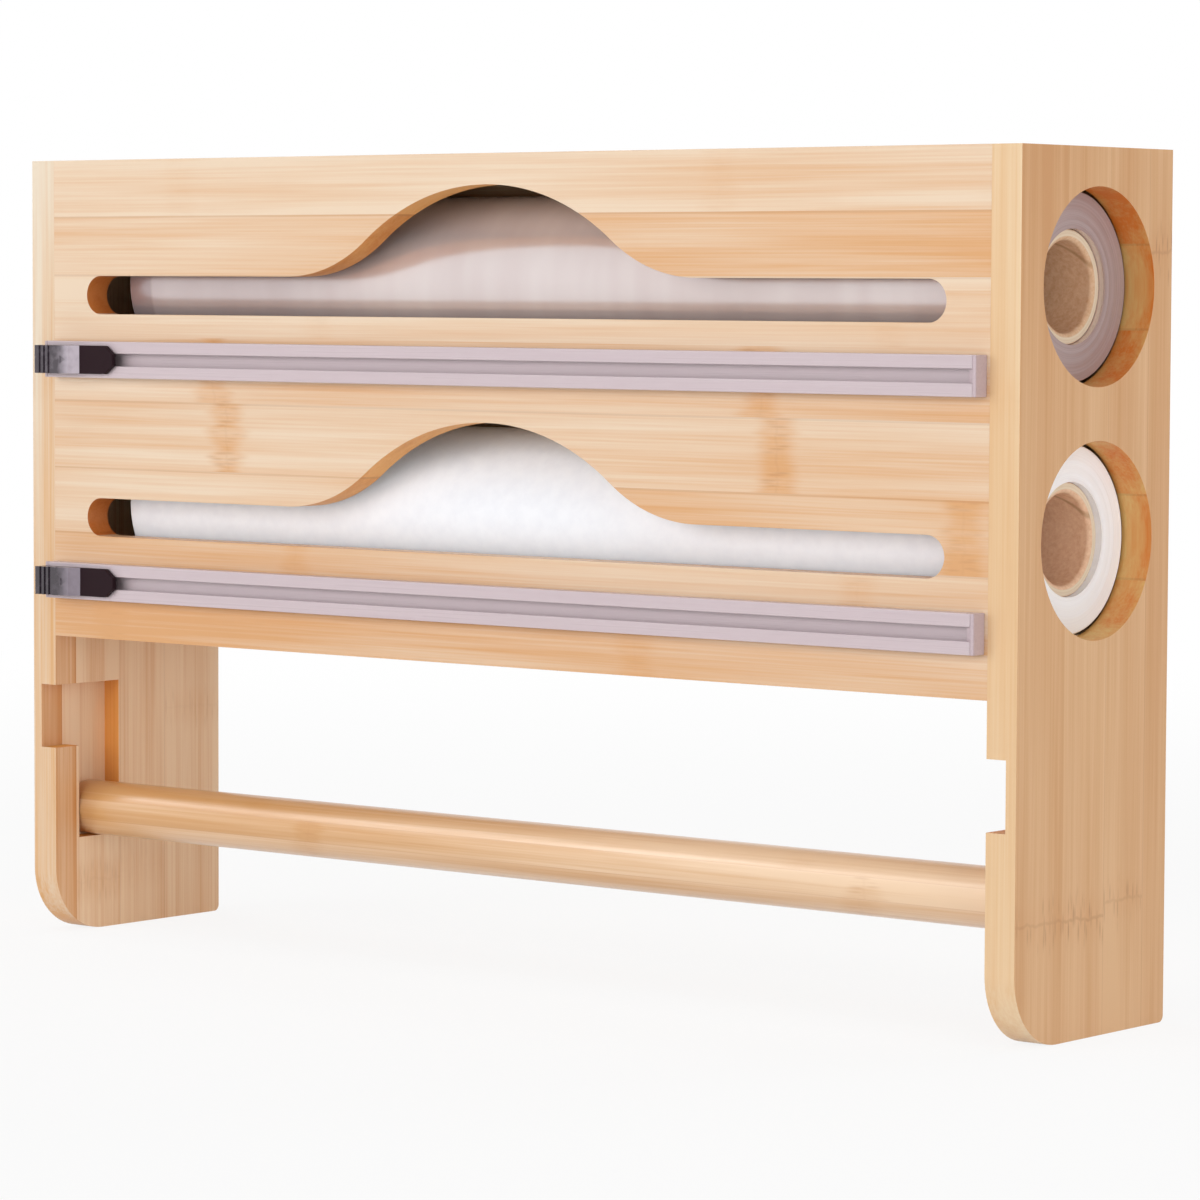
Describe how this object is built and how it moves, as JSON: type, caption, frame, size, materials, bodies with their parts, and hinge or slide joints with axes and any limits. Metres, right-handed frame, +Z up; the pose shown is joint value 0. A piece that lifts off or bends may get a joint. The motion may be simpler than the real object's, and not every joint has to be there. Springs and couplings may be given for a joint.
{
  "type": "kitchen wrap dispenser",
  "caption": "Wooden kitchen wrap dispenser with roll compartments behind a slotted front panel, slide cutters on tracks and a lift-out towel rod.",
  "frame": {"origin": "middle of the whole depth and width, on the surface that the side boards stand on", "axes": "+X to the right along the rolls, -Y out of the slotted front, +Z up"},
  "size_m": [0.385, 0.086, 0.25],
  "materials": {
    "bamboo": "oiled",
    "dowel_wood": "plain",
    "steel": "plated",
    "track_plastic": "satin",
    "tape": "foam",
    "slider_black": "moulded",
    "grip_grey": "polished",
    "cardboard": "plain",
    "film": "clear film",
    "parchment": "plain"
  },
  "bodies": {
    "frame": {"left_side_board": "bamboo", "right_side_board": "bamboo", "front_panel": "bamboo", "back_board": "bamboo", "top_board": "bamboo", "middle_shelf": "bamboo", "bottom_shelf": "bamboo", "panel_dowels": "dowel_wood", "shelf_dowels": "dowel_wood", "back_board_screws": "steel", "left_hanger_plate": "steel", "right_hanger_plate": "steel", "hanger_plate_screws": "steel", "upper_cutter_track": "track_plastic", "lower_cutter_track": "track_plastic", "upper_track_tape": "tape", "lower_track_tape": "tape", "upper_track_end_caps": "track_plastic", "lower_track_end_caps": "track_plastic"},
    "upper_cutter": {"upper_slider_base": "slider_black", "upper_slider_grip": "grip_grey", "upper_cutter_blade": "steel"},
    "lower_cutter": {"lower_slider_base": "slider_black", "lower_slider_grip": "grip_grey", "lower_cutter_blade": "steel"},
    "upper_roll": {"upper_roll_core": "cardboard", "film_winding": "film"},
    "lower_roll": {"lower_roll_core": "cardboard", "parchment_winding": "parchment"},
    "towel_rod": {"towel_rod": "bamboo"}
  },
  "joints": [
    {"name": "upper_cutter_slide", "type": "slide", "parent": "frame", "child": "upper_cutter", "axis": [1, 0, 0], "range_m": [0, 0.3305]},
    {"name": "lower_cutter_slide", "type": "slide", "parent": "frame", "child": "lower_cutter", "axis": [1, 0, 0], "range_m": [0, 0.3305]},
    {"name": "upper_roll_spin", "type": "hinge", "parent": "frame", "child": "upper_roll", "pos_m": [0.0105, 0.006, 0.211], "axis": [1, 0, 0], "continuous": true},
    {"name": "lower_roll_spin", "type": "hinge", "parent": "frame", "child": "lower_roll", "pos_m": [0.0105, 0.006, 0.14], "axis": [1, 0, 0], "continuous": true},
    {"name": "towel_rod_lift", "type": "slide", "parent": "frame", "child": "towel_rod", "axis": [0, 0, 1], "range_m": [0, 0.0311]}
  ]
}
